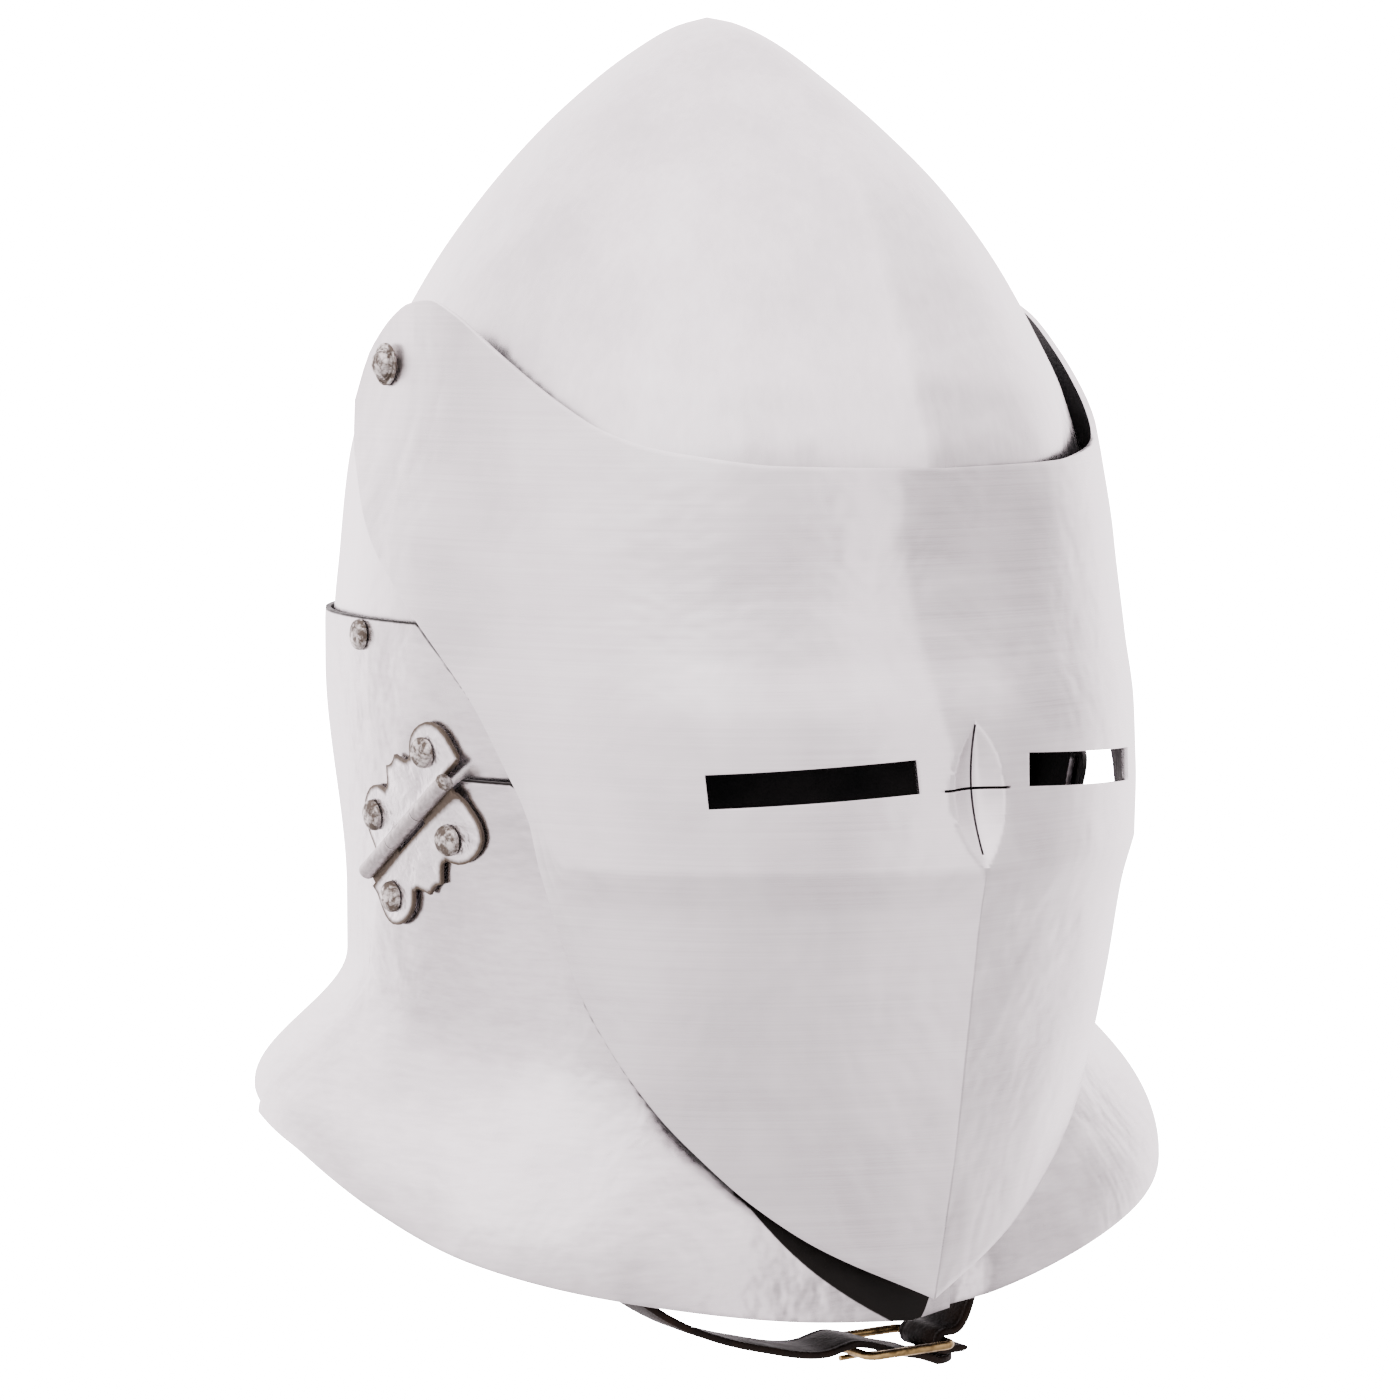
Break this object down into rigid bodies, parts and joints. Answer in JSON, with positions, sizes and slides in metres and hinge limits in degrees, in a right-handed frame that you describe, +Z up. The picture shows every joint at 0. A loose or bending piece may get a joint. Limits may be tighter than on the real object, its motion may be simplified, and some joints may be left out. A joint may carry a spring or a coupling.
{
  "type": "visored helm",
  "caption": "Pointed steel helm with a lifting visor with eye slits, a flared collar with hinged front halves and a buckled chin strap.",
  "frame": {"origin": "where a wearer's head bears inside the crown, on the crown's upright axis", "axes": "+Z up, -Y the way the wearer faces, +X the wearer's left"},
  "size_m": [0.2814, 0.2653, 0.4063],
  "materials": {
    "satin_steel": "satin, finely brushed",
    "aged_rivet": "aged, with dark pits",
    "antique_brass": "antique satin",
    "dark_leather": "dark, waxed"
  },
  "bodies": {
    "skull_and_back_collar": {"skull": "satin_steel", "back_collar": "satin_steel", "hinge_upper_leaf_right": "satin_steel", "hinge_upper_leaf_left": "satin_steel", "hinge_pin_right": "aged_rivet", "hinge_pin_left": "aged_rivet", "visor_pivot_right": "aged_rivet", "visor_pivot_left": "aged_rivet", "collar_rivet_right": "aged_rivet", "collar_rivet_left": "aged_rivet", "collar_rivet_back": "aged_rivet", "collar_rivet_back_right": "aged_rivet", "collar_rivet_back_left": "aged_rivet", "leaf_rivet_upper_front_right": "aged_rivet", "leaf_rivet_upper_front_left": "aged_rivet", "leaf_rivet_upper_back_right": "aged_rivet", "leaf_rivet_upper_back_left": "aged_rivet", "strap_tail_side": "dark_leather", "strap_buckle_side": "dark_leather", "strap_rivet_right": "aged_rivet", "strap_rivet_left": "aged_rivet", "buckle_frame": "antique_brass", "buckle_tongue": "antique_brass"},
    "visor": {"visor": "satin_steel"},
    "collar_half_right": {"collar_right": "satin_steel", "hinge_lower_leaf_right": "satin_steel", "leaf_rivet_lower_front_right": "aged_rivet", "leaf_rivet_lower_back_right": "aged_rivet"},
    "collar_half_left": {"collar_left": "satin_steel", "hinge_lower_leaf_left": "satin_steel", "leaf_rivet_lower_front_left": "aged_rivet", "leaf_rivet_lower_back_left": "aged_rivet"}
  },
  "joints": [
    {"name": "visor_lift", "type": "hinge", "parent": "skull_and_back_collar", "child": "visor", "pos_m": [0, 0.0075, -0.0055], "axis": [-1, 0, 0], "range_deg": [0, 75]},
    {"name": "collar_right_open", "type": "hinge", "parent": "skull_and_back_collar", "child": "collar_half_right", "pos_m": [-0.11385, -0.015, -0.13865], "axis": [-0.0262, 0.8225, -0.5681], "range_deg": [0, 52.5]},
    {"name": "collar_left_open", "type": "hinge", "parent": "skull_and_back_collar", "child": "collar_half_left", "pos_m": [0.11385, -0.015, -0.13865], "axis": [-0.0262, -0.8225, 0.5681], "range_deg": [0, 45]}
  ],
  "couplings": [
    {"joint": "collar_right_open", "follows": "visor_lift", "ratio": 0.7},
    {"joint": "collar_left_open", "follows": "visor_lift", "ratio": 0.6}
  ]
}
